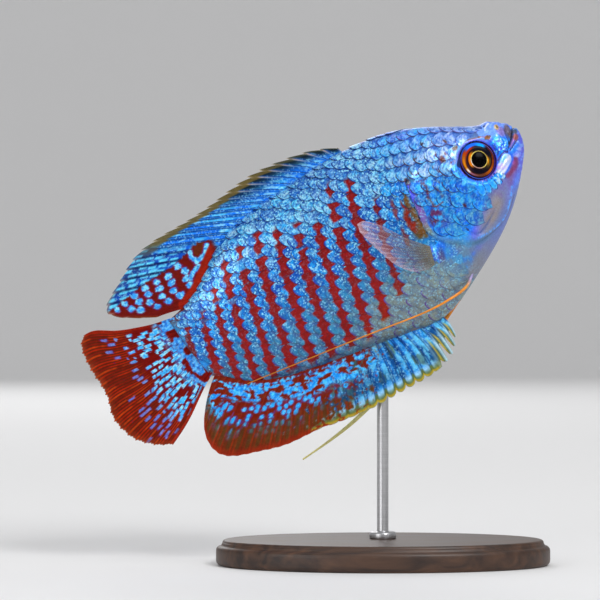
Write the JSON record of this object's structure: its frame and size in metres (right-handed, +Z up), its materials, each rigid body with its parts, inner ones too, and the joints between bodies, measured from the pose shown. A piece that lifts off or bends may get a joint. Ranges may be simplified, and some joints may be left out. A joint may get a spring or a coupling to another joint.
{
  "type": "dwarf gourami display model",
  "caption": "Life-size still model of an adult male dwarf gourami, head raised, fins spread and feelers trailing, held by one short rod on a flat oval base.",
  "frame": {"origin": "centre of the underside of the stand's base, straight below the rod", "axes": "+Z up from the floor; the fish faces +X with its head raised 31 degrees; +Y is its left side, across the body"},
  "size_m": [0.0728, 0.032, 0.0691],
  "materials": {
    "skin": "satin, scaled, azure with oxblood bars and pearly highlights",
    "eye": "wet gloss, black pupil in a gold and orange iris",
    "fin_blue": "satin membrane over rays, azure with red-brown spots",
    "fin_red": "satin membrane over rays, orange-red with light blue dashes",
    "fin_clear": "thin clear membrane over fine rays, pinkish grey",
    "feeler": "satin thread, yellow-orange, lavender at its root",
    "stand_wood": "dark stained, satin",
    "stand_steel": "satin"
  },
  "bodies": {
    "root": {"head": "skin", "lower_jaw": "skin", "gill_cover_right": "skin", "gill_cover_left": "skin", "trunk": "skin", "tail_root": "skin", "eye_right": "eye", "eye_left": "eye", "fin_dorsal": "fin_blue", "fin_anal": "fin_blue", "fin_caudal": "fin_red", "fin_pectoral_right": "fin_clear", "fin_pectoral_left": "fin_clear", "feeler_right": "feeler", "feeler_left": "feeler", "stand_base": "stand_wood", "stand_rod": "stand_steel"}
  },
  "joints": []
}
